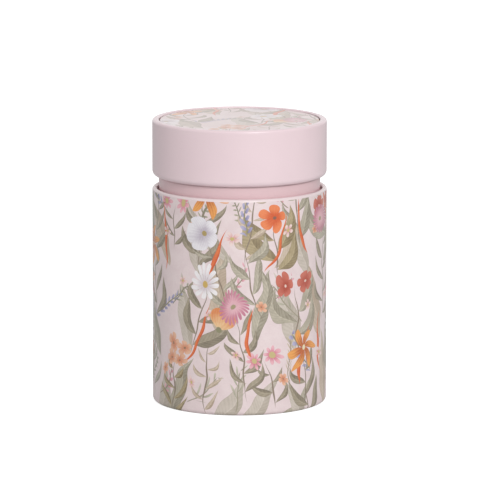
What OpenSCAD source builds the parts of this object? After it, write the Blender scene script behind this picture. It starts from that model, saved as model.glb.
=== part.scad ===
// Round talcum powder tin with a slip lid.
// The origin is the centre of the circle that the tin stands on. +Z is up and -Y is the front.
// The lid is modelled closed and the sifter shut. All sizes are in millimetres.

/* [Tin] */
// Outer diameter of the body and of the lid
body_d = 74; // [60:1:100]
// Height of the body, from the foot to the top of its curled edge
body_h = 92; // [60:1:150]
// Height of the lid
lid_h = 24; // [20:1:40]
// Height of the ring of neck that shows between the body and the closed lid
neck_gap = 5; // [3:0.5:8]
// Thickness of the tinplate
sheet = 0.3; // [0.2:0.02:0.36]

/* [Body edges] */
// Radius of the bead that the body's top edge is curled into
curl_r = 1; // [0.8:0.1:1.4]
// Gap between the body's curl and the neck
curl_gap = 0.75; // [0.5:0.05:1.2]
// Radius of the bend from the body's wall to the foot
foot_bend_r = 1.6; // [1:0.1:2.2]
// Width of the flat land that the tin stands on
foot_land_w = 1.2; // [0.8:0.1:2]
// Height of the base panel above the foot
base_rise = 2.4; // [2:0.1:4]
// Height of the base panel's turned-up rim
base_rim_h = 4; // [3:0.5:6]
// Width of the folded seam down the back of the body
seam_w = 5; // [3:0.5:7]

/* [Neck] */
// Length of the collar's sleeve inside the body
sleeve_h = 10; // [6:1:15]
// Radius of the bead that the neck's top edge is curled into
neck_curl_r = 0.9; // [0.7:0.1:1.1]
// Radius of the rolled bead that the sifter sits on
neck_bead_r = 0.8; // [0.6:0.1:1]

/* [Lid] */
// Width of the rolled rim round the lid's top
lid_rim_w = 2.8; // [2.4:0.1:3.6]
// Radius of the rim's outer corner
lid_rim_r = 1.1; // [0.8:0.1:1.3]
// How far the rim's inner flange is turned down
lid_flange_h = 2; // [1.5:0.1:2.5]
// Gap between the rim and the printed panel
panel_groove = 0.3; // [0.2:0.05:0.5]
// How far the printed panel lies below the rim
panel_drop = 0.4; // [0.2:0.1:0.8]
// Length of the sleeve that slides on the neck, inside the lid
lid_sleeve_h = 8; // [5:0.5:11]
// Radius of the tight bend between the lid's rolled edge and its sleeve
lid_hem_r = 0.45; // [0.4:0.05:0.6]
// Thickness of the pulpboard wad inside the lid
liner_t = 3; // [2.6:0.2:4]

/* [Sifter] */
// Depth of the sifter's floor below the top of the neck
sifter_depth = 7.5; // [6.5:0.5:9]
// Diameter of a sifter hole
hole_d = 1.8; // [1.2:0.1:2.2]
// Number of groups of holes round the sifter
hole_groups = 4; // [3:1:5]
// Radius of the innermost ring of holes
first_ring_r = 8; // [8:0.5:10]
// Distance from one ring of holes to the next
ring_pitch = 5; // [4:0.5:7]
// Distance between holes along a ring
hole_pitch = 4; // [3.5:0.5:6]
// Height of the shutter's finger tab
tab_h = 3.5; // [2.5:0.5:4]
// Width of the shutter's finger tab
tab_w = 9; // [6:1:12]
// Diameter of the rivet that the shutter turns on
rivet_d = 3; // [2.4:0.2:4]

/* [Fits] */
// Radial gap between the lid's sleeve and the neck
slip_gap = 0.1; // [0.05:0.01:0.2]
// Gap between pieces that are pressed or clinched together
seat_gap = 0.02; // [0.01:0.01:0.05]
// Gap round and under the turning shutter
turn_gap = 0.1; // [0.05:0.01:0.15]

/* [Hidden] */
$fn = 96;

PRINT_PINK = "#e9d6d6";
LID_PINK = "#ecd5db";
NECK_PINK = "#dfbcc0";
TIN = "#c9c8c4";
PULP = "#e6ddc8";

body_r = body_d / 2;
body_inner_r = body_r - sheet;
// The neck is as wide as the body's curl and the gap beside it allow.
neck_r = body_r - 2 * curl_r - curl_gap;
neck_inner_r = neck_r - sheet;

// Heights of the lid and of what it carries
lid_bottom_z = body_h + neck_gap;
lid_top_z = lid_bottom_z + lid_h;
panel_top_z = lid_top_z - panel_drop;
panel_under_z = panel_top_z - sheet;
liner_bottom_z = panel_under_z - liner_t;
flange_bottom_z = lid_top_z - lid_flange_h;

// Heights of the neck: its shoulder is caught under the body's curl, and the liner rests on its top.
shoulder_z = body_h - 2 * curl_r - seat_gap;
neck_top_z = liner_bottom_z - seat_gap;
sleeve_bottom_z = shoulder_z - sleeve_h;

// Bends in the sheet: a fold's outer radius, and the smaller fillet at the neck's foot
fold_r = 0.8;
neck_fillet_r = 0.35;
foot_hem_r = 0.7;
// A curl stops short of a full turn, so that its cut edge stays clear of the wall.
curl_end = 300;

// Foot of the body
foot_land_outer_r = body_r - foot_bend_r;
foot_land_inner_r = foot_land_outer_r - foot_land_w;
foot_hem_inner_r = foot_land_inner_r - foot_hem_r;

// Base panel
base_r = body_inner_r - seat_gap;
base_under_z = base_rise + seat_gap;
base_bead_r = 0.6;
base_bead_inset = 8;

// Folded seam, which thins out before it meets the base panel's rim and the collar's sleeve
seam_t = 3 * sheet;
seam_end_gap = 2;
seam_line_w = 0.25;
seam_line_depth = 0.1;

// Lid
lid_sleeve_r = neck_r + slip_gap;
lid_edge_r = body_r - lid_sleeve_r - lid_hem_r;
lid_flange_r = body_r - lid_rim_w;
lid_flange_corner_r = 0.5;
panel_r = lid_flange_r - panel_groove;
panel_corner_r = 0.6;
panel_lip_r = body_inner_r - seat_gap;
panel_lip_top_z = flange_bottom_z - seat_gap;
// The liner fills the flat of the panel and stops where the panel's bend starts.
liner_r = panel_r - panel_corner_r;
liner_edge_r = 0.3;

// Sifter pan, held between the rolled bead and the neck's curl
sifter_floor_z = neck_top_z - sifter_depth;
pan_r = neck_inner_r - seat_gap;
pan_rim_top_z = neck_top_z - 2 * neck_curl_r - seat_gap;
pan_bend_r = 1.2;
// The neck's bead touches the pan's bend from below, so the two arcs are tangent.
pan_bend_ring_r = pan_r - pan_bend_r;
bead_contact = pan_bend_r + neck_bead_r + seat_gap;
bead_fall = sqrt(bead_contact * bead_contact - pow(neck_r - pan_bend_ring_r, 2));
neck_bead_z = sifter_floor_z + pan_bend_r - bead_fall;

// Shutter, on top of the pan's floor
shutter_r = pan_bend_ring_r - 2;
shutter_z = sifter_floor_z + sheet + turn_gap;
shutter_top_z = shutter_z + sheet;
shutter_turn = 180 / hole_groups;
tab_corner_r = 1.2;
tab_inset = 1.2;
// The tab swings across the front, from the left when the sifter is shut.
tab_angle = -90 - shutter_turn / 2;

// Stop lug on the pan, and the arc slot that it stands in
lug_r = 1;
lug_h = shutter_top_z + sheet - sifter_floor_z;
lug_ring_r = shutter_r - 3;
lug_angle = 90;
slot_half_w = lug_r + turn_gap;

// Rings of holes, as many as fit inside the lug's ring
hole_margin = 0.6;
last_ring_r = lug_ring_r - slot_half_w - hole_d / 2 - hole_margin;
ring_count = floor((last_ring_r - first_ring_r) / ring_pitch) + 1;

// Rivet and the spring washer under its head
rivet_r = rivet_d / 2;
rivet_head_r = rivet_r + 1.7;
rivet_head_h = 1;
rivet_tail_r = rivet_r + 1;
rivet_tail_h = 0.6;
washer_r = rivet_r + 1.6;
washer_hole_r = rivet_r + turn_gap;
washer_t = 0.2;
washer_rise = 0.3;
washer_z = shutter_top_z + 0.02;
rivet_head_z = washer_z + washer_rise + washer_t + 0.02;

// A length of sheet seen edge on, from radius r0 to r1 and from height z0 to z1
module strip(r0, r1, z0, z1) {
    translate([r0, z0])
        square([r1 - r0, z1 - z0]);
}

// A quarter bend of sheet about the point [r, z]. side_r and side_z are 1 or -1 and choose the quarter.
module bend(r, z, outer_r, side_r, side_z) {
    translate([r, z])
        scale([side_r, side_z])
            intersection() {
                difference() {
                    circle(outer_r);
                    circle(outer_r - sheet);
                }
                square(outer_r);
            }
}

// An edge curled inwards, about the point [r, z], with its cut end at the angle curl_end
module curl(r, z, outer_r) {
    reach = 2 * outer_r;
    translate([r, z])
        difference() {
            circle(outer_r);
            circle(outer_r - sheet);
            polygon([[0, 0], [reach * cos(curl_end), reach * sin(curl_end)], [reach, -reach], [reach, 0]]);
        }
}

// A round hole down through a flat disc
module drill(radius, z) {
    translate([0, 0, z - 1])
        cylinder(r = radius, h = sheet + 2);
}

// The groups of holes in the pan's floor, and the same groups in the shutter
module sifter_holes(z, turn) {
    for (ring = [0 : ring_count - 1]) {
        ring_r = first_ring_r + ring * ring_pitch;
        edge_angle = asin((hole_d / 2 + hole_margin) / ring_r);
        span = shutter_turn - 2 * edge_angle;
        hole_step = 2 * asin(hole_pitch / 2 / ring_r);
        count = max(1, floor(span / hole_step) + 1);
        for (group = [0 : hole_groups - 1])
            for (i = [0 : count - 1])
                rotate(turn + group * 2 * shutter_turn + (i - (count - 1) / 2) * hole_step)
                    translate([ring_r, 0, 0])
                        drill(hole_d / 2, z);
    }
}

module body_profile() {
    strip(body_inner_r, body_r, foot_bend_r, body_h - curl_r);
    curl(body_r - curl_r, body_h - curl_r, curl_r);
    bend(foot_land_outer_r, foot_bend_r, foot_bend_r, 1, -1);
    strip(foot_land_inner_r, foot_land_outer_r, 0, sheet);
    bend(foot_land_inner_r, foot_hem_r, foot_hem_r, -1, -1);
    strip(foot_hem_inner_r, foot_hem_inner_r + sheet, foot_hem_r, base_rise);
}

// The seam is folded to the inside, at the back. A fine line shows where the sheet's edges meet outside.
module seam_fold() {
    low_z = base_under_z + base_rim_h + seam_end_gap;
    high_z = sleeve_bottom_z - seam_end_gap;
    fold_angle = 2 * asin(seam_w / 2 / body_inner_r);
    rotate(90 - fold_angle / 2)
        rotate_extrude(angle = fold_angle)
            strip(body_inner_r - seam_t, body_inner_r + sheet / 2, low_z, high_z);
}

module seam_line() {
    low_z = foot_bend_r;
    translate([-seam_line_w / 2, body_r - seam_line_depth, low_z])
        cube([seam_line_w, 1, body_h - curl_r - low_z]);
}

module body_shell() {
    color(PRINT_PINK)
        difference() {
            union() {
                rotate_extrude()
                    body_profile();
                seam_fold();
            }
            seam_line();
        }
}

module base_profile() {
    bead_ring_r = base_r - base_bead_inset;
    rim_top_z = base_under_z + base_rim_h;
    difference() {
        union() {
            strip(0, base_r - fold_r, base_under_z, base_under_z + sheet);
            intersection() {
                translate([bead_ring_r, base_under_z])
                    circle(base_bead_r + sheet);
                strip(0, base_r, base_under_z, rim_top_z);
            }
        }
        translate([bead_ring_r, base_under_z])
            circle(base_bead_r);
    }
    bend(base_r - fold_r, base_under_z + fold_r, fold_r, 1, -1);
    strip(base_r - sheet, base_r, base_under_z + fold_r, rim_top_z);
}

module base_panel() {
    color(TIN)
        rotate_extrude()
            base_profile();
}

module neck_profile() {
    sleeve_r = body_inner_r - seat_gap;
    fillet_r = neck_r + neck_fillet_r;
    fillet_z = shoulder_z + neck_fillet_r;
    // Sleeve inside the body, and the shoulder under the body's curl
    strip(sleeve_r - sheet, sleeve_r, sleeve_bottom_z, shoulder_z - fold_r);
    bend(sleeve_r - fold_r, shoulder_z - fold_r, fold_r, 1, 1);
    strip(fillet_r, sleeve_r - fold_r, shoulder_z - sheet, shoulder_z);
    bend(fillet_r, fillet_z, neck_fillet_r + sheet, -1, -1);
    // Neck wall with its rolled bead, and the curled top edge
    difference() {
        union() {
            strip(neck_inner_r, neck_r, fillet_z, neck_top_z - neck_curl_r);
            intersection() {
                translate([neck_r, neck_bead_z])
                    circle(neck_bead_r);
                strip(0, neck_r, fillet_z, neck_top_z);
            }
        }
        translate([neck_r, neck_bead_z])
            circle(neck_bead_r - sheet);
    }
    curl(neck_r - neck_curl_r, neck_top_z - neck_curl_r, neck_curl_r);
}

module neck_collar() {
    color(NECK_PINK)
        rotate_extrude()
            neck_profile();
}

module pan_profile() {
    strip(0, pan_bend_ring_r, sifter_floor_z, sifter_floor_z + sheet);
    bend(pan_bend_ring_r, sifter_floor_z + pan_bend_r, pan_bend_r, 1, -1);
    strip(pan_r - sheet, pan_r, sifter_floor_z + pan_bend_r, pan_rim_top_z);
}

// The lug is pushed up out of the floor, so it is hollow underneath.
module stop_lug() {
    rotate(lug_angle)
        translate([lug_ring_r, 0, sifter_floor_z])
            cylinder(r = lug_r, h = lug_h);
}

module lug_hollow() {
    rotate(lug_angle)
        translate([lug_ring_r, 0, sifter_floor_z - 1])
            cylinder(r = lug_r - sheet, h = 1 + lug_h - sheet);
}

module sifter_pan() {
    color(TIN)
        difference() {
            union() {
                rotate_extrude()
                    pan_profile();
                stop_lug();
            }
            lug_hollow();
            drill(rivet_r + seat_gap, sifter_floor_z);
            sifter_holes(sifter_floor_z, 0);
        }
}

// The slot lets the shutter turn from shut to open and no further.
module lug_slot() {
    lug_half_angle = asin(slot_half_w / lug_ring_r);
    rotate(lug_angle - shutter_turn - lug_half_angle)
        rotate_extrude(angle = shutter_turn + 2 * lug_half_angle)
            strip(lug_ring_r - slot_half_w, lug_ring_r + slot_half_w, shutter_z - 1, shutter_top_z + 1);
}

module tab_profile() {
    corner_x = tab_w / 2 - tab_corner_r;
    translate([-tab_w / 2, 0])
        square([tab_w, tab_h - tab_corner_r]);
    translate([-corner_x, 0])
        square([2 * corner_x, tab_h]);
    for (side = [-1, 1])
        translate([side * corner_x, tab_h - tab_corner_r])
            circle(tab_corner_r);
}

module finger_tab() {
    rotate(tab_angle)
        translate([shutter_r - tab_inset, 0, shutter_z])
            rotate([90, 0, 90])
                linear_extrude(sheet)
                    tab_profile();
}

module sifter_shutter() {
    color(TIN)
        union() {
            difference() {
                translate([0, 0, shutter_z])
                    cylinder(r = shutter_r, h = sheet);
                drill(rivet_r + turn_gap, shutter_z);
                sifter_holes(shutter_z, -shutter_turn);
                lug_slot();
            }
            finger_tab();
        }
}

module rivet_profile() {
    tail_top_z = sifter_floor_z - seat_gap;
    dome_r = (rivet_head_r * rivet_head_r + rivet_head_h * rivet_head_h) / (2 * rivet_head_h);
    strip(0, rivet_r, tail_top_z - rivet_tail_h / 2, rivet_head_z + rivet_head_h / 4);
    strip(0, rivet_tail_r, tail_top_z - rivet_tail_h, tail_top_z);
    intersection() {
        translate([0, rivet_head_z + rivet_head_h - dome_r])
            circle(dome_r);
        strip(0, rivet_head_r + 1, rivet_head_z, rivet_head_z + rivet_head_h + 1);
    }
}

module shutter_rivet() {
    color(TIN)
        rotate_extrude()
            rivet_profile();
}

// A dished washer: its outer edge presses on the shutter and its inner edge on the rivet's head.
module spring_washer() {
    color(TIN)
        rotate_extrude()
            polygon([
                [washer_r, washer_z],
                [washer_r, washer_z + washer_t],
                [washer_hole_r, washer_z + washer_rise + washer_t],
                [washer_hole_r, washer_z + washer_rise],
            ]);
}

module lid_skirt_profile() {
    // Outer wall, rolled in at the bottom and turned up again as the sleeve that slides on the neck
    strip(body_inner_r, body_r, lid_bottom_z + lid_edge_r, lid_top_z - lid_rim_r);
    bend(body_r - lid_edge_r, lid_bottom_z + lid_edge_r, lid_edge_r, 1, -1);
    bend(lid_sleeve_r + lid_hem_r, lid_bottom_z + lid_hem_r, lid_hem_r, -1, -1);
    strip(lid_sleeve_r, lid_sleeve_r + sheet, lid_bottom_z + lid_hem_r, lid_bottom_z + lid_sleeve_h);
    // Rim round the top, turned down inside as a flange
    bend(body_r - lid_rim_r, lid_top_z - lid_rim_r, lid_rim_r, 1, 1);
    strip(lid_flange_r + lid_flange_corner_r, body_r - lid_rim_r, lid_top_z - sheet, lid_top_z);
    bend(lid_flange_r + lid_flange_corner_r, lid_top_z - lid_flange_corner_r, lid_flange_corner_r, -1, 1);
    strip(lid_flange_r, lid_flange_r + sheet, flange_bottom_z, lid_top_z - lid_flange_corner_r);
}

module lid_skirt() {
    color(LID_PINK)
        rotate_extrude()
            lid_skirt_profile();
}

// The panel is pushed up from inside the lid until its lip meets the flange.
module lid_panel_profile() {
    strip(0, panel_r - panel_corner_r, panel_under_z, panel_top_z);
    bend(panel_r - panel_corner_r, panel_top_z - panel_corner_r, panel_corner_r, 1, 1);
    strip(panel_r - sheet, panel_r, panel_lip_top_z - sheet, panel_top_z - panel_corner_r);
    strip(panel_r - sheet, panel_lip_r, panel_lip_top_z - sheet, panel_lip_top_z);
}

module lid_top_panel() {
    color(PRINT_PINK)
        rotate_extrude()
            lid_panel_profile();
}

module lid_liner_profile() {
    strip(0, liner_r, liner_bottom_z + liner_edge_r, panel_under_z);
    strip(0, liner_r - liner_edge_r, liner_bottom_z, panel_under_z);
    translate([liner_r - liner_edge_r, liner_bottom_z + liner_edge_r])
        circle(liner_edge_r);
}

module lid_liner() {
    color(PULP)
        rotate_extrude()
            lid_liner_profile();
}

body_shell();
base_panel();
neck_collar();
sifter_pan();
sifter_shutter();
shutter_rivet();
spring_washer();
lid_skirt();
lid_top_panel();
lid_liner();
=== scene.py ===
# %% [markdown]
# # A talcum powder tin
# The tin is a set of thin pressings: a printed body, a neck with a sifter in its mouth, and a slip lid.
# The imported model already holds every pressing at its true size, so this lesson is about finishes.
# It goes from the frame to the print, the lacquers and the bare metal, and then to the camera and the light.

# %% Load the frame
import math
import random

import bpy
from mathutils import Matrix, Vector


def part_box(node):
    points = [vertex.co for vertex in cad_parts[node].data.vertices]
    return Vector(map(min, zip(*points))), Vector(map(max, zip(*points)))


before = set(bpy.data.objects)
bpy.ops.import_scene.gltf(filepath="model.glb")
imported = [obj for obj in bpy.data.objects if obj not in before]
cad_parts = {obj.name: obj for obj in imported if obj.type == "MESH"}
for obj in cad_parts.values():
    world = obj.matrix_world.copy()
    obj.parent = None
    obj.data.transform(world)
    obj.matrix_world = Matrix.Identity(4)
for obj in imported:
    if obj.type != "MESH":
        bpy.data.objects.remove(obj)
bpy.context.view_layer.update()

MM = 0.001
body_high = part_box("body_shell")[1]
lid_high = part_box("lid_skirt")[1]
BODY_R = body_high.x / MM
BODY_H = body_high.z / MM
print("tin:", round(2 * BODY_R, 1), "mm across and", round(lid_high.z / MM, 1), "mm high")

# %% [markdown]
# ## A short way to write node trees
# A procedural finish is arithmetic on the surface's own coordinates, and node by node it gets long.
# The nodes could be placed by hand in the editor, or by a small helper like this one.
# A helper keeps each finish to a few readable lines, and takes a number or a socket in the same place.

# %% Node helper
class Nodes:
    """Adds nodes to one tree. Wherever a value is asked for, a number, a colour or a socket will do."""

    def __init__(self, tree):
        self.tree = tree

    def feed(self, socket, value):
        if isinstance(value, bpy.types.NodeSocket):
            self.tree.links.new(value, socket)
        else:
            socket.default_value = value

    def add(self, kind, inputs=(), **settings):
        node = self.tree.nodes.new(kind)
        for name, value in settings.items():
            setattr(node, name, value)
        pairs = inputs.items() if isinstance(inputs, dict) else enumerate(inputs)
        for key, value in pairs:
            self.feed(node.inputs[key], value)
        return node

    def math(self, operation, *values):
        return self.add("ShaderNodeMath", values, operation=operation).outputs[0]

    def vector(self, operation, *values):
        return self.add("ShaderNodeVectorMath", values, operation=operation).outputs["Vector"]

    def dot(self, first, second):
        return self.add("ShaderNodeVectorMath", [first, second], operation="DOT_PRODUCT").outputs["Value"]

    def step(self, value, low, high, to_low=0.0, to_high=1.0):
        """A smooth step from to_low to to_high as value goes from low to high."""
        inputs = [value, low, high, to_low, to_high]
        node = self.add("ShaderNodeMapRange", inputs, interpolation_type="SMOOTHSTEP", clamp=False)
        return node.outputs[0]

    def mix(self, share, first, second, blend="MIX"):
        inputs = {0: share, 6: first, 7: second}
        return self.add("ShaderNodeMix", inputs, data_type="RGBA", blend_type=blend).outputs[2]

    def mix_value(self, share, first, second):
        inputs = {0: share, 2: first, 3: second}
        return self.add("ShaderNodeMix", inputs, data_type="FLOAT").outputs[0]

    def split(self, vector):
        return self.add("ShaderNodeSeparateXYZ", [vector]).outputs

    def join(self, x, y, z=0.0):
        return self.add("ShaderNodeCombineXYZ", [x, y, z]).outputs[0]

    def noise(self, place, scale, detail=2.0, roughness=0.5):
        inputs = {"Vector": place, "Scale": scale, "Detail": detail, "Roughness": roughness}
        return self.add("ShaderNodeTexNoise", inputs)

    def use(self, group, **values):
        """Places a node group. Underscores in the names stand for spaces."""
        inputs = {name.replace("_", " "): value for name, value in values.items()}
        return self.add("ShaderNodeGroup", inputs, node_tree=group).outputs


def paint(card):
    """A colour written as on a paint card, such as "ead6d8", as the linear RGBA that nodes use."""
    parts = [int(card[i:i + 2], 16) / 255 for i in (0, 2, 4)]
    curve = [p / 12.92 if p <= 0.04045 else ((p + 0.055) / 1.055) ** 2.4 for p in parts]
    return (*curve, 1.0)


SOCKETS = {"value": "NodeSocketFloat", "colour": "NodeSocketColor", "vector": "NodeSocketVector"}


def new_group(name, inputs, outputs):
    """An empty node group. inputs and outputs give each socket's kind."""
    tree = bpy.data.node_groups.new(name, "ShaderNodeTree")
    for side, sockets in (("INPUT", inputs), ("OUTPUT", outputs)):
        for label, kind in sockets.items():
            tree.interface.new_socket(label, in_out=side, socket_type=SOCKETS[kind])
    nodes = Nodes(tree)
    given = nodes.add("NodeGroupInput").outputs
    return tree, nodes, given


def close_group(nodes, **results):
    """Puts out the group's results."""
    end = nodes.add("NodeGroupOutput")
    for name, value in results.items():
        nodes.feed(end.inputs[name.replace("_", " ")], value)


print("node helper ready")

# %% [markdown]
# ## The print's building blocks
# The print is a meadow of leaves, sprigs and blossoms, laid over each other like cut paper.
# It could be a painted image, but a drawn formula stays sharp at any distance and needs no file.
# Each block takes the colour underneath and gives back that colour with one plant part on top.
# All blocks share the way a part is placed: moved to its spot, wrapped round the tin, and turned.
# The helpers make one thing sure: a block works in plain millimetres, along the part and across it.

# %% Placing a part
REPEAT = math.pi * BODY_R
EDGE = 0.16
PART_INPUTS = {
    "Under": "colour",
    "Place": "vector",
    "Wash": "value",
    "Spot": "vector",
    "Along": "vector",
    "Across": "vector",
}


def part_place(nodes, given):
    """The part's own coordinates in millimetres: x along it from its base, and y across it."""
    far = 1000.0
    away = nodes.vector("SUBTRACT", given["Place"], given["Spot"])
    near = nodes.vector("WRAP", away, (REPEAT / 2, far, far), (-REPEAT / 2, -far, -far))
    return nodes.dot(near, given["Along"]), nodes.dot(near, given["Across"])


def spot_and_turn(x, y, degrees):
    """The three inputs that put a part at x, y, turned anticlockwise from the x axis."""
    cosine = math.cos(math.radians(degrees))
    sine = math.sin(math.radians(degrees))
    return dict(Spot=(x, y, 0), Along=(cosine, sine, 0), Across=(-sine, cosine, 0))


def arch(nodes, along, length):
    """t runs from 0 to 1 along the part, and hump is 4t(1 - t), which is 0 past either end."""
    t = nodes.math("DIVIDE", along, length)
    rest = nodes.math("SUBTRACT", 4.0, nodes.math("MULTIPLY", t, 4.0))
    return t, nodes.math("MAXIMUM", nodes.math("MULTIPLY", t, rest), 0.0)


print("a part's drawn edge is", EDGE, "mm soft")

# %% [markdown]
# ## Leaf block
# A leaf is as wide as an arch that leans towards its base, and a bend moves its midrib off the straight.
# One half is darker than the other, the midrib is pale, and side veins are a wave that runs out from it.
# Drawn very narrow and without veins, the same shape is a stem or a blade of grass.

# %% Leaf block
VEIN_SLANT = 1.3
VEIN_PITCH = 3.4
VEIN_SHADE = 0.1
MIDRIB_W = 0.3
MIDRIB_SHADE = 0.4
DARK_HALF = 0.24
LIGHT_HALF = 0.62
RIM_SHADE = -0.3
WASH_ON_LEAF = 0.9
leaf, n, given = new_group(
    "Leaf",
    {
        **PART_INPUTS,
        "Length": "value",
        "Width": "value",
        "Taper": "value",
        "Bend": "value",
        "Vein": "value",
        "Dark": "colour",
        "Light": "colour",
    },
    {"Colour": "colour"},
)
x, y = part_place(n, given)
t, hump = arch(n, x, given["Length"])
side = n.math("SUBTRACT", y, n.math("MULTIPLY", hump, given["Bend"]))
away = n.math("ABSOLUTE", side)
leaning = n.math("SUBTRACT", given["Taper"], t)
half_width = n.math("MULTIPLY", n.math("MULTIPLY", hump, leaning), given["Width"])
inside = n.math("SUBTRACT", half_width, away)
vein_run = n.math("SUBTRACT", x, n.math("MULTIPLY", away, VEIN_SLANT))
vein_wave = n.math("SINE", n.math("MULTIPLY", vein_run, VEIN_PITCH))
shade = n.step(side, -0.5, 0.5, DARK_HALF, LIGHT_HALF)
shade = n.math("MULTIPLY_ADD", n.math("MULTIPLY", vein_wave, given["Vein"]), VEIN_SHADE, shade)
shade = n.math("MULTIPLY_ADD", given["Wash"], WASH_ON_LEAF, shade)
midrib = n.math("MULTIPLY", n.step(away, MIDRIB_W, 0.08), given["Vein"])
shade = n.math("MULTIPLY_ADD", midrib, MIDRIB_SHADE, shade)
shade = n.math("ADD", shade, n.step(inside, 0.0, 0.5, RIM_SHADE, 0.0))
leaf_colour = n.mix(shade, given["Dark"], given["Light"])
close_group(n, Colour=n.mix(n.step(inside, 0.0, EDGE), given["Under"], leaf_colour))
print("leaf block:", len(leaf.nodes), "nodes")

# %% [markdown]
# ## Blossom block
# A blossom is one petal drawn again and again round a centre. The angle is rounded to the nearest petal's,
# and what is left over places the point within that petal. A limit on the petals gives a half-open flower.
# The colour runs from the heart to the rim, with fine streaks along each petal.

# %% Blossom block
STREAK_PITCH = 5.5
blossom, n, given = new_group(
    "Blossom",
    {
        **PART_INPUTS,
        "Radius": "value",
        "Squash": "value",
        "Step": "value",
        "Last": "value",
        "Width": "value",
        "Point": "value",
        "Streak": "value",
        "Curl": "value",
        "Inner": "colour",
        "Outer": "colour",
        "Heart": "value",
        "Heart colour": "colour",
    },
    {"Colour": "colour"},
)
x, y = part_place(n, given)
y = n.math("DIVIDE", y, given["Squash"])
reach = n.math("SQRT", n.math("MULTIPLY_ADD", x, x, n.math("MULTIPLY", y, y)))
way_out = n.math("DIVIDE", reach, given["Radius"])
angle = n.math("MULTIPLY_ADD", way_out, given["Curl"], n.math("ARCTAN2", y, x))
petal = n.math("ROUND", n.math("DIVIDE", angle, given["Step"]))
petal = n.math("MAXIMUM", n.math("MINIMUM", petal, given["Last"]), n.math("MULTIPLY", given["Last"], -1.0))
own_angle = n.math("SUBTRACT", angle, n.math("MULTIPLY", petal, given["Step"]))
side = n.math("MULTIPLY", reach, n.math("SINE", own_angle))
t = n.math("DIVIDE", n.math("MULTIPLY", reach, n.math("COSINE", own_angle)), given["Radius"])
tip = n.math("POWER", n.math("MAXIMUM", n.math("SUBTRACT", 1.0, t), 0.0), given["Point"])
half_width = n.math("MULTIPLY", n.math("MULTIPLY", n.math("MAXIMUM", t, 0.0), given["Width"]), tip)
inside = n.math("SUBTRACT", half_width, n.math("ABSOLUTE", side))
streak = n.math("MULTIPLY", n.math("SINE", n.math("MULTIPLY", side, STREAK_PITCH)), given["Streak"])
shade = n.math("ADD", streak, n.step(t, 0.1, 0.9))
shade = n.math("MULTIPLY_ADD", given["Wash"], 1.0, shade)
shade = n.math("ADD", shade, n.step(inside, 0.0, 0.45, RIM_SHADE, 0.0))
petals = n.mix(n.step(inside, 0.0, EDGE), given["Under"], n.mix(shade, given["Inner"], given["Outer"]))
heart = n.step(n.math("SUBTRACT", given["Heart"], reach), 0.0, 0.3)
close_group(n, Colour=n.mix(heart, petals, given["Heart colour"]))
print("blossom block:", len(blossom.nodes), "nodes")

# %% [markdown]
# ## Sprig block
# A sprig repeats one small leaf up both sides of a stem, which gives ferns, willow, grass and lavender.
# Only the fraction of a step along the stem is used, so a sprig with thirty leaves costs no more than one.

# %% Sprig block
SPRIG_STEM_HALF = 0.34
sprig, n, given = new_group(
    "Sprig",
    {
        **PART_INPUTS,
        "Length": "value",
        "Bend": "value",
        "Bare": "value",
        "Spacing": "value",
        "Reach": "value",
        "Girth": "value",
        "Lean": "value",
        "Narrow": "value",
        "Dark": "colour",
        "Light": "colour",
        "Stem": "colour",
    },
    {"Colour": "colour"},
)
x, y = part_place(n, given)
t, hump = arch(n, x, given["Length"])
side = n.math("SUBTRACT", y, n.math("MULTIPLY", hump, given["Bend"]))
away = n.math("ABSOLUTE", side)
left = n.math("GREATER_THAN", side, 0.0)
narrowed = n.math("SUBTRACT", 1.0, n.math("MULTIPLY", t, given["Narrow"]))
leaf_reach = n.math("MULTIPLY", narrowed, given["Reach"])
u, lens = arch(n, away, leaf_reach)
foot = n.math("SUBTRACT", x, n.math("MULTIPLY", away, given["Lean"]))
turn = n.math("MULTIPLY_ADD", left, 0.5, n.math("DIVIDE", foot, given["Spacing"]))
own = n.math("ABSOLUTE", n.math("SUBTRACT", n.math("FRACT", turn), 0.5))
half_width = n.math("MULTIPLY", lens, given["Girth"])
inside = n.math("SUBTRACT", half_width, n.math("MULTIPLY", own, given["Spacing"]))
started = n.math("GREATER_THAN", foot, given["Bare"])
ended = n.math("LESS_THAN", foot, given["Length"])
leaves_mask = n.math("MULTIPLY", n.step(inside, 0.0, EDGE), n.math("MULTIPLY", started, ended))
shade = n.math("MULTIPLY_ADD", given["Wash"], 1.0, n.step(u, 0.0, 1.0, 0.15, 0.85))
shade = n.math("MULTIPLY_ADD", left, 0.2, shade)
leaves = n.mix(leaves_mask, given["Under"], n.mix(shade, given["Dark"], given["Light"]))
thin = n.math("MULTIPLY", n.math("MINIMUM", n.math("MULTIPLY", hump, 3.5), 1.0), SPRIG_STEM_HALF)
close_group(n, Colour=n.mix(n.step(n.math("SUBTRACT", thin, away), 0.0, EDGE), leaves, given["Stem"]))
print("sprig block:", len(sprig.nodes), "nodes")

# %% [markdown]
# ## The meadow
# A print designer draws each plant a few times and scatters the drawings until no gap catches the eye.
# The kinds below are such drawings, and all are plain garden shapes: leaves, sprigs, daisies and blossoms.
# The inks are few and a little greyed, because a litho press mixes all of them from four plates.

# %% Inks and how leaves are laid
INKS = {
    "sage": ("908876", "cfc6b3"),
    "olive": ("857556", "c4b38f"),
    "moss": ("7f7563", "b7ab95"),
    "mist": ("b5aa9b", "dcd1c6"),
    "tan": ("b09c86", "dccbb8"),
    "rust": ("cf5326", "f08a52"),
    "stem": ("857566", "a49380"),
}
LEAF_TAPER = 1.6
STEM_WIDTH = 0.8


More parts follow.
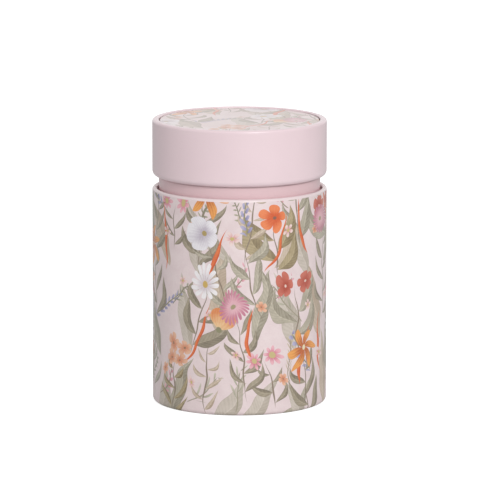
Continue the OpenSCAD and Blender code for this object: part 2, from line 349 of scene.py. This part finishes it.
def draw_leaf(nodes, under, place, wash, x, y, turn, length, width, bend, ink, vein=1.0):
    """Lays one leaf, stem or blade over the colour underneath."""
    dark, light = INKS[ink]
    return nodes.use(
        leaf, Under=under, Place=place, Wash=wash, **spot_and_turn(x, y, turn), Length=length,
        Width=0.5 * width / (LEAF_TAPER - 0.4), Taper=LEAF_TAPER, Bend=bend, Vein=vein,
        Dark=paint(dark), Light=paint(light),
    )["Colour"]


print(len(INKS), "inks")

# %% [markdown]
# ## Sprigs and blossoms
# Each kind is a row of settings for its block. The shapes are the plain ones that any garden print has.

# %% Sprigs
# A kind says how far apart, how long and how broad the small leaves are, how they lean, and their inks.
SPRIG_KINDS = {
    "lavender": dict(Bare=0.0, Spacing=3.2, Reach=3.0, Girth=1.15, Lean=0.8, Narrow=0.45,
                     Dark=paint("7f7ba6"), Light=paint("bdb8d3"), Stem=paint("8d8968")),
    "willow": dict(Bare=3.0, Spacing=5.0, Reach=6.5, Girth=0.95, Lean=1.5, Narrow=0.6,
                   Dark=paint("9c9783"), Light=paint("cfc9b6"), Stem=paint("a39b86")),
    "fern": dict(Bare=2.0, Spacing=2.4, Reach=3.6, Girth=0.5, Lean=0.7, Narrow=0.8,
                 Dark=paint("86836e"), Light=paint("bfb9a2"), Stem=paint("8e8972")),
    "grass": dict(Bare=5.0, Spacing=2.2, Reach=2.6, Girth=0.5, Lean=1.9, Narrow=0.4,
                  Dark=paint("a08f74"), Light=paint("d2c3a6"), Stem=paint("a3967f")),
    "bud": dict(Bare=4.0, Spacing=3.4, Reach=2.4, Girth=0.85, Lean=0.8, Narrow=0.3,
                Dark=paint("cc8093"), Light=paint("eebdc5"), Stem=paint("9b8b76")),
}


def draw_sprig(nodes, under, place, wash, x, y, turn, length, bend, kind):
    """Lays one sprig over the colour underneath."""
    return nodes.use(
        sprig, Under=under, Place=place, Wash=wash, **spot_and_turn(x, y, turn),
        Length=length, Bend=bend, **SPRIG_KINDS[kind],
    )["Colour"]


print(len(SPRIG_KINDS), "kinds of sprig")

# %% Blossoms
# A kind has the petals in a full round, how many lie each side of the first, and their shape and inks.
BLOSSOM_KINDS = {
    "aster": dict(petals=22, last=11, width=0.2, Point=0.3, Streak=0.1, Curl=0.25, heart=0.17,
                  Inner=paint("e6b3bc"), Outer=paint("c97f95"), Heart_colour=paint("a89a78")),
    "poppy": dict(petals=5, last=3, width=1.1, Point=0.34, Streak=0.08, Curl=0.1, heart=0.2,
                  Inner=paint("c4bac6"), Outer=paint("f1edf1"), Heart_colour=paint("b09a62")),
    "lily": dict(petals=6, last=3, width=0.66, Point=0.75, Streak=0.2, Curl=0.6, heart=0.12,
                 Inner=paint("c0683a"), Outer=paint("f2a95a"), Heart_colour=paint("ecdfba")),
    "primrose": dict(petals=5, last=3, width=1.02, Point=0.42, Streak=0.05, Curl=0.15, heart=0.16,
                     Inner=paint("b6513f"), Outer=paint("cf7563"), Heart_colour=paint("e9cdc0")),
    "flax": dict(petals=5, last=3, width=0.95, Point=0.45, Streak=0.06, Curl=0.2, heart=0.15,
                 Inner=paint("d75c2c"), Outer=paint("ef8a56"), Heart_colour=paint("8a6250")),
    "apricot": dict(petals=5, last=3, width=0.92, Point=0.4, Streak=0.1, Curl=-0.2, heart=0.18,
                    Inner=paint("d98c69"), Outer=paint("edbd9f"), Heart_colour=paint("9a7b5e")),
    "star": dict(petals=8, last=4, width=0.55, Point=0.55, Streak=0.0, Curl=0.0, heart=0.36,
                 Inner=paint("d8798f"), Outer=paint("efb9c2"), Heart_colour=paint("cdbb86")),
    "cup": dict(petals=10, last=1, width=0.6, Point=0.4, Streak=0.14, Curl=0.1, heart=0.14,
                Inner=paint("f0c998"), Outer=paint("e08a55"), Heart_colour=paint("8f8b6c")),
    "daisy": dict(petals=13, last=6, width=0.3, Point=0.3, Streak=0.12, Curl=0.0, heart=0.22,
                  Inner=paint("d9cdd3"), Outer=paint("f7f3f4"), Heart_colour=paint("cfae62")),
    "mote": dict(petals=5, last=3, width=0.8, Point=0.5, Streak=0.0, Curl=0.0, heart=0.3,
                 Inner=paint("e3abab"), Outer=paint("f1dcd6"), Heart_colour=paint("cdb978")),
}


def draw_blossom(nodes, under, place, wash, x, y, turn, radius, squash, kind):
    """Lays one blossom over the colour underneath."""
    looks = dict(BLOSSOM_KINDS[kind])
    step = math.tau / looks.pop("petals")
    return nodes.use(
        blossom, Under=under, Place=place, Wash=wash, **spot_and_turn(x, y, turn),
        Radius=radius, Squash=squash, Step=step, Last=looks.pop("last"),
        Width=radius * looks.pop("width"), Heart=radius * looks.pop("heart"), **looks,
    )["Colour"]


print(len(BLOSSOM_KINDS), "kinds of blossom")

# %% [markdown]
# ## Whole plants
# A plant is a stem with leaves that really grow from it on both sides, and a flower or a spike at its tip.
# The heads are laid later than all the leaves, because a print keeps its flowers clear.

# %% Kinds of plant
# Stem length. Leaves: how many, length, width, splay and ink. Head: kind, size and how many.
PLANT_KINDS = [
    (46, (7, 15, 3.4, 36, "moss"), ("aster", 7.5, 1)),
    (30, (4, 23, 8.0, 30, "olive"), ("flax", 6, 1)),
    (40, (6, 14, 3.0, 42, "sage"), ("poppy", 7.5, 1)),
    (24, (4, 12, 3.0, 44, "moss"), ("star", 4.2, 2)),
    (44, (5, 19, 5.2, 28, "sage"), ("lavender", 20, 1)),
    (34, (6, 13, 3.2, 40, "olive"), ("apricot", 3.8, 4)),
    (38, (5, 17, 4.6, 34, "moss"), ("lily", 9.5, 1)),
    (26, (3, 25, 9.5, 34, "sage"), ("primrose", 5.2, 2)),
    (42, (7, 11, 2.6, 46, "tan"), ("cup", 9, 1)),
    (32, (4, 20, 6.5, 26, "moss"), ("daisy", 6.5, 1)),
]
draw = random.Random(7)
LEAN = 16
STEM_BEND = 0.08
FIRST_LEAF = 0.12
LEAFY_SHARE = 0.68
TIP_SHRINK = 0.35
SPLAY_SWAY = 8
HEAD_AT = 0.96


def on_stem(stem, t):
    """The place at a fraction t of the way up a stem, and the stem's direction there in degrees."""
    x, y, turn, length, bend = stem
    along = t * length
    aside = 4 * bend * t * (1 - t)
    slope = math.degrees(math.atan2(4 * bend * (1 - 2 * t), length))
    cosine = math.cos(math.radians(turn))
    sine = math.sin(math.radians(turn))
    return x + along * cosine - aside * sine, y + along * sine + aside * cosine, turn + slope


def draw_plant(nodes, under, place, wash, x, y, kind):
    """Lays a stem and its leaves from the foot up. Gives back the colour, and the tip for the head."""
    length, leaves, head = PLANT_KINDS[kind]
    length = length * draw.uniform(0.9, 1.1)
    turn = 90 + draw.uniform(-LEAN, LEAN)
    stem = (x, y, turn, length, length * draw.uniform(-STEM_BEND, STEM_BEND))
    under = draw_leaf(nodes, under, place, wash, *stem[:4], STEM_WIDTH, stem[4], "stem", vein=0.0)
    count, leaf_length, leaf_width, splay, ink = leaves
    for i in range(count):
        side = 1 if i % 2 else -1
        leaf_x, leaf_y, direction = on_stem(stem, FIRST_LEAF + LEAFY_SHARE * i / count)
        size = (1 - TIP_SHRINK * i / count) * draw.uniform(0.85, 1.15)
        turn = direction + side * (splay + draw.uniform(-SPLAY_SWAY, SPLAY_SWAY))
        under = draw_leaf(nodes, under, place, wash, leaf_x, leaf_y, turn, leaf_length * size,
                          leaf_width * size, side * leaf_width * 0.5, ink)
    return under, (*on_stem(stem, HEAD_AT), *head)


def draw_head(nodes, under, place, wash, x, y, direction, kind, size, count):
    """Lays the spike, the flower or the small cluster of flowers at the tip of a stem."""
    if kind in SPRIG_KINDS:
        return draw_sprig(nodes, under, place, wash, x, y, direction, size, 0, kind)
    spread = 0 if count == 1 else size * 1.1
    for i in range(count):
        around = math.radians(direction + 360 * (i + 0.5) / count)
        under = draw_blossom(nodes, under, place, wash, x + spread * math.cos(around),
                             y + spread * math.sin(around), direction + 25 * i,
                             size * draw.uniform(0.9, 1.1), draw.uniform(0.82, 1.0), kind)
    return under


print(len(PLANT_KINDS), "kinds of plant")

# %% [markdown]
# ## Laying out the sheet
# A sheet needs an even cover in which no two places are alike.
# A table could say where everything goes, but a jittered grid does it by rule and needs no table.
# Each cell of the grid gets one thing, moved and turned a little by a random draw with a fixed seed.
# The grid runs past the sheet's edges, so the plants are cut off there, as on a real printed sheet.

# %% Jittered grid
SWAY = 0.22


def scattered(columns, rows, low, high):
    """Places on a grid round the repeat, between two heights. Every second row moves by half a cell."""
    wide = REPEAT / columns
    tall = (high - low) / rows
    for row in range(rows):
        for column in range(columns):
            x = (column + 0.5 * (row % 2) + draw.uniform(-SWAY, SWAY)) * wide
            yield column, row, x, low + (row + 0.5 + draw.uniform(-SWAY, SWAY)) * tall


def upright(spread):
    """A turn within a spread of straight up."""
    return 90 + draw.uniform(-spread, spread)


print("one repeat is", round(REPEAT, 1), "mm wide, and goes twice round the tin")

# %% [markdown]
# ## The whole print
# The layers go from the back to the front: pale leaves, sprigs, plants, blades, small blossoms, heads.
# Each layer has a grid of its own: so many columns and rows, between two heights in millimetres.
# A slow wobble of the whole sheet takes the ruler-straight look out of the stems.
# Two sizes of noise are shared by all the parts as a watercolour wash.

# %% The whole print
WOBBLE_SCALE = 0.09
WOBBLE_MM = 5.0
BROAD_WASH_SCALE = 0.22
FINE_WASH_SCALE = 1.1
FAR_LEAF_WIDTH = 0.24
BLADE_WIDTH = 1.7
meadow, n, given = new_group("Meadow print", {"Place": "vector"}, {"Colour": "colour"})
wobble = n.noise(given["Place"], WOBBLE_SCALE, 0.0).outputs["Color"]
wobble = n.vector("SUBTRACT", wobble, (0.5, 0.5, 0.5))
place = n.vector("MULTIPLY_ADD", wobble, (WOBBLE_MM, WOBBLE_MM, 0.0), given["Place"])
broad_wash = n.noise(given["Place"], BROAD_WASH_SCALE, 1.0).outputs["Fac"]
fine_wash = n.noise(given["Place"], FINE_WASH_SCALE, 2.0, 0.6).outputs["Fac"]
wash = n.math("SUBTRACT", n.math("MULTIPLY_ADD", fine_wash, 0.5, n.math("MULTIPLY", broad_wash, 0.8)), 0.65)
colour = n.mix(n.step(wash, -0.2, 0.2), paint("e9d6d7"), paint("eedddd"))
for column, row, x, y in scattered(7, 3, -22, 80):
    ink = ("mist", "sage", "mist", "tan")[(column + row) % 4]
    length = draw.uniform(24, 38)
    colour = draw_leaf(n, colour, place, wash, x, y, upright(40), length, length * FAR_LEAF_WIDTH,
                       draw.uniform(-4, 4), ink)
for column, row, x, y in scattered(6, 3, -8, 98):
    kind = ("willow", "fern", "grass", "bud", "lavender")[(2 * column + 3 * row) % 5]
    colour = draw_sprig(n, colour, place, wash, x, y, upright(60), draw.uniform(15, 22),
                        draw.uniform(-2, 2), kind)
tips = []
for column, row, x, y in reversed(list(scattered(7, 3, -16, 78))):
    kind = (3 * column + 4 * row) % len(PLANT_KINDS)
    colour, tip = draw_plant(n, colour, place, wash, x, y, kind)
    tips.append(tip)
for _, _, x, y in scattered(5, 2, -12, 84):
    length = draw.uniform(26, 38)
    colour = draw_leaf(n, colour, place, wash, x, y, upright(25), length, BLADE_WIDTH,
                       draw.uniform(-3, 3), "rust", vein=0.3)
for column, row, x, y in scattered(6, 3, 4, 94):
    kind = ("mote", "apricot", "mote")[(column + row) % 3]
    colour = draw_blossom(n, colour, place, wash, x, y, upright(180), draw.uniform(2.2, 3.0),
                          1.0, kind)
for tip in tips:
    colour = draw_head(n, colour, place, wash, *tip)
close_group(n, Colour=colour)
print("meadow print:", len(meadow.nodes), "parts and helpers")

# %% [markdown]
# ## Finding a spot on the tin
# A print or a brush mark on a round tin follows the sheet, so it needs the distance round the wall.
# A UV map would give that, but the tin is a set of circles, and its own coordinates say it exactly.
# This group turns them into millimetres round and up the wall, and the distance from the tin's axis.

# %% Tin coordinates group
tin_place, n, given = new_group(
    "Tin place",
    {"Object": "vector"},
    {"Point": "vector", "Wrapped": "vector", "Radius": "value", "Height": "value", "Round": "value"},
)
point = n.vector("SCALE", given["Object"])
point.node.inputs["Scale"].default_value = 1 / MM
px, py, pz = n.split(point)
round_wall = n.math("MULTIPLY", n.math("ARCTAN2", px, n.math("MULTIPLY", py, -1.0)), BODY_R)
radius = n.math("SQRT", n.math("MULTIPLY_ADD", px, px, n.math("MULTIPLY", py, py)))
close_group(n, Point=point, Wrapped=n.join(round_wall, pz), Radius=radius, Height=pz, Round=round_wall)
print("tin place:", len(tin_place.nodes), "nodes")

# %% [markdown]
# ## Lacquer
# The pink parts are tinplate with a stoved satin lacquer, rolled on flat before the sheet is pressed.
# It could be one flat colour, but real lacquer is never quite even in colour, gloss or level.
# The group below gives the faint roller texture, the handling marks and the patchy gloss for each part.

# %% Lacquer group
CLOUD_SCALE = 0.06
PEEL_SCALE = 1.3
RUB_STRETCH = (0.05, 2.6, 1.0)
PATCH_SCALE = 0.13
GLOSS_SWING = 0.12
MARK_TINT = 0.12
lacquer, n, given = new_group(
    "Lacquer",
    {"Point": "vector", "Wrapped": "vector", "Colour": "colour", "Gloss": "value"},
    {"Colour": "colour", "Roughness": "value", "Height": "value"},
)
cloud = n.noise(given["Point"], CLOUD_SCALE, 2.0).outputs["Fac"]
peel = n.noise(given["Point"], PEEL_SCALE, 1.0).outputs["Fac"]
drawn = n.vector("MULTIPLY", given["Wrapped"], RUB_STRETCH)
rub = n.step(n.noise(drawn, 1.0, 3.0, 0.6).outputs["Fac"], 0.63, 0.72)
patch = n.step(n.noise(given["Point"], PATCH_SCALE, 1.0).outputs["Fac"], 0.5, 0.62)
marks = n.math("MULTIPLY", rub, patch)
tone = n.math("MULTIPLY_ADD", peel, 0.25, n.math("MULTIPLY", cloud, 0.75))
warm = n.mix(tone, (0.955, 0.95, 0.955, 1), (1.03, 1.035, 1.03, 1))
tinted = n.mix(1.0, given["Colour"], warm, "MULTIPLY")
colour = n.mix(n.math("MULTIPLY", marks, MARK_TINT), tinted, paint("fdf3f2"))
swing = n.math("MULTIPLY_ADD", cloud, GLOSS_SWING, -0.5 * GLOSS_SWING)
rough = n.math("ADD", given["Gloss"], swing)
rough = n.math("MULTIPLY_ADD", marks, -0.08, rough)
height = n.math("MULTIPLY_ADD", marks, -0.35, peel)
close_group(n, Colour=colour, Roughness=rough, Height=height)
print("lacquer:", len(lacquer.nodes), "nodes")

# %% [markdown]
# ## Bare tinplate
# Inside, and on the base and the sifter, the sheet is plain tinplate: steel with a bright skin of tin.
# Pressing leaves fine rings round the tin's axis, and the tin has soft grey clouds where it was handled.
# Rings that depend only on the distance from the axis give the drawn look without any stretched image.

# %% Tinplate group
RING_SCALE = 2.2
TIN_CLOUD_SCALE = 0.12
SPECK_SCALE = 1.9
tinplate, n, given = new_group(
    "Tinplate",
    {"Point": "vector", "Radius": "value", "Height": "value", "Dull": "value"},
    {"Colour": "colour", "Roughness": "value", "Bump height": "value"},
)
ring_radius = n.math("MULTIPLY", given["Radius"], RING_SCALE)
ring_place = n.join(ring_radius, n.math("MULTIPLY", given["Height"], RING_SCALE))
rings = n.noise(ring_place, 1.0, 3.0, 0.65).outputs["Fac"]
cloud = n.noise(given["Point"], TIN_CLOUD_SCALE, 3.0, 0.6).outputs["Fac"]
speck = n.noise(given["Point"], SPECK_SCALE, 2.0).outputs["Fac"]
grey = n.math("MULTIPLY_ADD", rings, 0.4, n.math("MULTIPLY", cloud, 0.6))
colour = n.mix(n.step(grey, 0.3, 0.7), paint("a9a8a3"), paint("d9d8d2"))
colour = n.mix(n.math("MULTIPLY", n.step(speck, 0.62, 0.75), 0.35), colour, paint("8f8d88"))
rough = n.math("ADD", given["Dull"], n.math("MULTIPLY_ADD", cloud, 0.22, n.math("MULTIPLY", rings, 0.12)))
close_group(n, Colour=colour, Roughness=rough, Bump_height=rings)
print("tinplate:", len(tinplate.nodes), "nodes")

# %% [markdown]
# ## Materials on the parts
# Each part's material has its own Principled shader, and the groups above feed its sockets.
# The varnish over the lacquer is the shader's coat: thin, clear and smoother than the paint below it.

# %% Material helper
def new_material(name):
    """A material with its node helper, its Principled shader and the tin's coordinates."""
    made = bpy.data.materials.new(name + "_finish")
    made.use_nodes = True
    nodes = Nodes(made.node_tree)
    shader = made.node_tree.nodes["Principled BSDF"]
    where = nodes.use(tin_place, Object=nodes.add("ShaderNodeTexCoord").outputs["Object"])
    return made, nodes, shader, where


COAT = 0.6
COAT_ROUGHNESS = 0.22


def finish_shader(nodes, shader, bump_height=None, bump_depth=0.05, bump_strength=0.3, **values):
    """Sets the shader's sockets, and bumps its normal by a height given in millimetres of depth."""
    for name, value in values.items():
        nodes.feed(shader.inputs[name.replace("_", " ")], value)
    if bump_height is not None:
        bump = nodes.add("ShaderNodeBump", {"Height": bump_height})
        bump.inputs["Strength"].default_value = bump_strength
        bump.inputs["Distance"].default_value = bump_depth * MM
        nodes.feed(shader.inputs["Normal"], bump.outputs["Normal"])


def coat(node_name, made):
    """Puts a material on a CAD node."""
    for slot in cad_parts[node_name].material_slots:
        slot.material = made
    print(node_name, "has", made.name)


print("coat weight", COAT)

# %% [markdown]
# ## The printed body
# The body's sheet is printed on its outer side only, so the print turns over the curled top edge.
# The curl itself is left plain, and so is a narrow margin where the two ends of the sheet are seamed.
# The node's own radius tells the outer side from the bare inner side, so one material does the lot.

# %% Printed body
PLAIN_PINK = paint("ecdbdc")
CURL_H = 2.0
FOOT_H = 1.5
SEAM_MARGIN = 1.4
body_finish, m, shader, where = new_material("printed_body")
printed = m.use(meadow, Place=where["Wrapped"])["Colour"]
from_seam = m.math("SUBTRACT", math.pi * BODY_R, m.math("ABSOLUTE", where["Round"]))
margin = m.step(from_seam, SEAM_MARGIN + 0.1, SEAM_MARGIN)
curl = m.step(where["Height"], BODY_H - 0.6 * CURL_H, BODY_H - 0.5 * CURL_H)
plain = m.math("MAXIMUM", margin, curl)
printed = m.mix(plain, printed, PLAIN_PINK)
painted = m.use(lacquer, Point=where["Point"], Wrapped=where["Wrapped"], Colour=printed, Gloss=0.42)
bare = m.use(tinplate, Point=where["Point"], Radius=where["Radius"], Height=where["Height"], Dull=0.22)
outer = m.step(where["Radius"], BODY_R - 0.2, BODY_R - 0.12)
rolled = m.math("MAXIMUM", m.math("GREATER_THAN", where["Height"], BODY_H - CURL_H - 0.05),
                m.math("LESS_THAN", where["Height"], FOOT_H))
is_painted = m.math("MAXIMUM", outer, rolled)
finish_shader(
    m, shader,
    Base_Color=m.mix(is_painted, bare["Colour"], painted["Colour"]),
    Metallic=m.math("SUBTRACT", 1.0, is_painted),
    Roughness=m.mix_value(is_painted, bare["Roughness"], painted["Roughness"]),
    bump_height=m.mix_value(is_painted, bare["Bump height"], painted["Height"]),
)
shader.inputs["Coat Roughness"].default_value = COAT_ROUGHNESS
m.feed(shader.inputs["Coat Weight"], m.math("MULTIPLY", is_painted, COAT))
coat("body_shell", body_finish)

# %% [markdown]
# ## The printed lid panel
# The lid carries a disc cut from the same printed sheet, so it shows another piece of the meadow.
# The sheet lies flat there, and the print is looked up straight from the disc's own x and y.
# The print is veiled with a thin pale haze, a painted sheen that stands in for the light the disc's lacquer
# reflects.

# %% Printed lid panel
DISC_SHIFT = (-26.0, 48.0, 0.0)
SHEEN_VEIL_SCALE = 0.08
THIN_SHEEN_VEIL = 0.2
THICK_SHEEN_VEIL = 0.45
disc_finish, m, shader, where = new_material("printed_lid_panel")
printed = m.use(meadow, Place=m.vector("ADD", where["Point"], DISC_SHIFT))["Colour"]
# Painted sheen: a patchy pale veil is mixed over the print in place of reflected light.
sheen_veil = m.noise(where["Point"], SHEEN_VEIL_SCALE, 2.0).outputs["Fac"]
sheen_veil = m.step(sheen_veil, 0.35, 0.65, THIN_SHEEN_VEIL, THICK_SHEEN_VEIL)
printed = m.mix(sheen_veil, printed, paint("d9bcb7"))
painted = m.use(lacquer, Point=where["Point"], Wrapped=where["Point"], Colour=printed, Gloss=0.4)
bare = m.use(tinplate, Point=where["Point"], Radius=where["Radius"], Height=where["Height"], Dull=0.25)
LID_H = lid_high.z / MM
is_painted = m.step(where["Height"], LID_H - 0.65, LID_H - 0.55)
finish_shader(
    m, shader,
    Base_Color=m.mix(is_painted, bare["Colour"], painted["Colour"]),
    Metallic=m.math("SUBTRACT", 1.0, is_painted),
    Roughness=m.mix_value(is_painted, bare["Roughness"], painted["Roughness"]),
    bump_height=m.mix_value(is_painted, bare["Bump height"], painted["Height"]),
)
shader.inputs["Coat Roughness"].default_value = COAT_ROUGHNESS
m.feed(shader.inputs["Coat Weight"], m.math("MULTIPLY", is_painted, COAT))
coat("lid_top_panel", disc_finish)

# %% [markdown]
# ## Plain pink parts
# The lid's skirt, the neck and the sifter's shutter are lacquered in one colour each.
# They share the lacquer group, and only the colour and the gloss change from part to part.
# A fine dark line of painted shade runs round the neck just under the lid's lower edge, where the gap
# between them lies in shadow.

# %% Pink parts
PINK_PARTS = {
    "lid_skirt": ("lid_lacquer", "eed7dc", 0.42),
    "neck_collar": ("neck_lacquer", "e5c5c9", 0.4),
    "sifter_shutter": ("shutter_lacquer", "dfb4ba", 0.38),
}
LID_EDGE_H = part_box("lid_skirt")[0].z / MM
SHADE_LINE_H = 0.9
for node_name, (name, card, gloss) in PINK_PARTS.items():
    made, m, shader, where = new_material(name)
    painted = m.use(lacquer, Point=where["Point"], Wrapped=where["Wrapped"], Colour=paint(card), Gloss=gloss)
    colour = painted["Colour"]
    if node_name == "neck_collar":
        # Painted shade: the neck is darkened in a thin band at the height of the lid's lower edge.
        from_edge = m.math("ABSOLUTE", m.math("SUBTRACT", where["Height"], LID_EDGE_H))
        colour = m.mix(m.step(from_edge, SHADE_LINE_H, 0.0, 0.0, 0.6), colour, paint("8d6468"))
    finish_shader(m, shader, Base_Color=colour, Roughness=painted["Roughness"],
                  bump_height=painted["Height"])
    shader.inputs["Coat Weight"].default_value = COAT
    shader.inputs["Coat Roughness"].default_value = COAT_ROUGHNESS
    coat(node_name, made)

# %% [markdown]
# ## Metal parts
# The base and the sifter are bare tinplate, the rivet is brass, and the washer is sprung steel.

# %% Bare metal parts
METAL_PARTS = {
    "base_panel": ("plain_tinplate", None, 0.24),
    "sifter_pan": ("sifter_tinplate", None, 0.18),
    "shutter_rivet": ("rivet_brass", "d9b36a", 0.16),
    "spring_washer": ("spring_steel", "8f94a0", 0.2),
}
for node_name, (name, card, dull) in METAL_PARTS.items():
    made, m, shader, where = new_material(name)
    bare = m.use(tinplate, Point=where["Point"], Radius=where["Radius"], Height=where["Height"], Dull=dull)
    colour = bare["Colour"]
    if card:
        colour = m.mix(0.8, colour, paint(card))
    finish_shader(m, shader, Base_Color=colour, Roughness=bare["Roughness"],
                  bump_height=bare["Bump height"], bump_strength=0.2)
    shader.inputs["Metallic"].default_value = 1.0
    coat(node_name, made)

# %% [markdown]
# ## The pulpboard wad
# A disc of pulpboard inside the lid seals the neck. It is felted paper: matt, fibrous and a little specked.

# %% Pulpboard
FIBRE_STRETCH = (1.0, 0.35, 1.0)
FIBRE_SCALE = 2.6
CLUMP_SCALE = 0.5
FLECK_SCALE = 3.1
made, m, shader, where = new_material("pulpboard")
fibre_place = m.vector("MULTIPLY", where["Point"], FIBRE_STRETCH)
fibres = m.noise(fibre_place, FIBRE_SCALE, 4.0, 0.7).outputs["Fac"]
clumps = m.noise(where["Point"], CLUMP_SCALE, 3.0, 0.6).outputs["Fac"]
fleck = m.step(m.noise(where["Point"], FLECK_SCALE, 1.0).outputs["Fac"], 0.68, 0.74)
felt = m.math("MULTIPLY_ADD", fibres, 0.6, m.math("MULTIPLY", clumps, 0.4))
colour = m.mix(m.step(felt, 0.3, 0.7), paint("cfc3a8"), paint("efe7d4"))
colour = m.mix(m.math("MULTIPLY", fleck, 0.4), colour, paint("9a8a6b"))
finish_shader(m, shader, Base_Color=colour, Roughness=m.step(felt, 0.3, 0.7, 0.95, 0.8),
              bump_height=felt, bump_depth=0.2, bump_strength=0.5)
coat("lid_liner", made)

# %% [markdown]
# ## Camera
# A long lens from two metres away keeps the tin's upright lines almost parallel.
# It looks down by ten degrees, which shows the lid's top as a narrow ellipse.

# %% Camera
CAMERA_ELEVATION = math.radians(10.06)
CAMERA_DISTANCE = 2.001
CAMERA_PIVOT = Vector((0, 0, 0.060))
CAMERA_AIM = Vector((0.0002, 0, 0.0687))
CAMERA_VIEW_ANGLE = math.radians(5.845)
camera_data = bpy.data.cameras.new("camera")
camera_data.angle = CAMERA_VIEW_ANGLE
camera_data.clip_end = 50
camera = bpy.data.objects.new("camera", camera_data)
bpy.context.scene.collection.objects.link(camera)
back = Vector((0, -math.cos(CAMERA_ELEVATION), math.sin(CAMERA_ELEVATION)))
camera.location = CAMERA_PIVOT + CAMERA_DISTANCE * back
camera.rotation_euler = (CAMERA_AIM - camera.location).to_track_quat("-Z", "Y").to_euler()
bpy.context.scene.camera = camera
print("camera:", round(camera.location.length, 2), "m away")

# %% [markdown]
# ## Light
# The tin stands in a white tent: soft light from all round, and a brighter backdrop.
# The tent is darker at the two sides, which gives the round wall its shape.
# One large disc light at the front, to the right, makes that side a little brighter than the left.

# %% Light
AMBIENT = 0.69
SIDE_AMBIENT = 0.5
BACK_GLOW = 0.3
KEY_POWER = 14.5
KEY_SIZE = 0.7
KEY_PLACE = Vector((0.6, -1.55, 0.9))
KEY_AIM = Vector((0, 0, 0.06))
scene = bpy.context.scene
scene.view_settings.view_transform = "Standard"
world = bpy.data.worlds.new("studio")
scene.world = world
world.use_nodes = True
w = Nodes(world.node_tree)
surroundings = world.node_tree.nodes["Background"]
direction = w.split(w.add("ShaderNodeTexCoord").outputs["Generated"])
sideways = w.math("ABSOLUTE", direction[0])
glow = w.step(sideways, 0.35, 0.95, AMBIENT, SIDE_AMBIENT)
glow = w.math("ADD", glow, w.step(direction[1], 0.6, 0.95, 0.0, BACK_GLOW))
seen = w.add("ShaderNodeLightPath").outputs["Is Camera Ray"]
w.feed(surroundings.inputs["Color"], (1, 1, 1, 1))
w.feed(surroundings.inputs["Strength"], w.mix_value(seen, glow, 1.0))
key_data = bpy.data.lights.new("key_light", "AREA")
key_data.shape = "DISK"
key_data.size = KEY_SIZE
key_data.energy = KEY_POWER
key = bpy.data.objects.new("key_light", key_data)
scene.collection.objects.link(key)
key.location = KEY_PLACE
key.rotation_euler = (KEY_AIM - KEY_PLACE).to_track_quat("-Z", "Y").to_euler()
print("key light:", round(key.location.length, 2), "m away")

# %% [markdown]
# ## Floor
# The tin stands on a plain pale sheet. The sheet looks white to the camera, but lights the tin only
# softly, because it glows for the camera's own rays alone.

# %% Floor
FLOOR_GLOW = 0.75
FLOOR_SIZE = 12
bpy.ops.mesh.primitive_plane_add(size=FLOOR_SIZE)
floor = bpy.context.object
floor.name = "floor"
floor_material = bpy.data.materials.new("pale_floor")
floor_material.use_nodes = True
f = Nodes(floor_material.node_tree)
floor_shader = floor_material.node_tree.nodes["Principled BSDF"]
speckle = f.noise(f.add("ShaderNodeTexCoord").outputs["Object"], 40.0, 2.0).outputs["Fac"]
f.feed(floor_shader.inputs["Base Color"], f.mix(speckle, paint("c9c9c9"), paint("d2d2d2")))
floor_shader.inputs["Roughness"].default_value = 0.85
floor_shader.inputs["Emission Color"].default_value = (1, 1, 1, 1)
seen = f.add("ShaderNodeLightPath").outputs["Is Camera Ray"]
f.feed(floor_shader.inputs["Emission Strength"], f.math("MULTIPLY", seen, FLOOR_GLOW))
floor.data.materials.append(floor_material)
print("floor under the tin's foot")
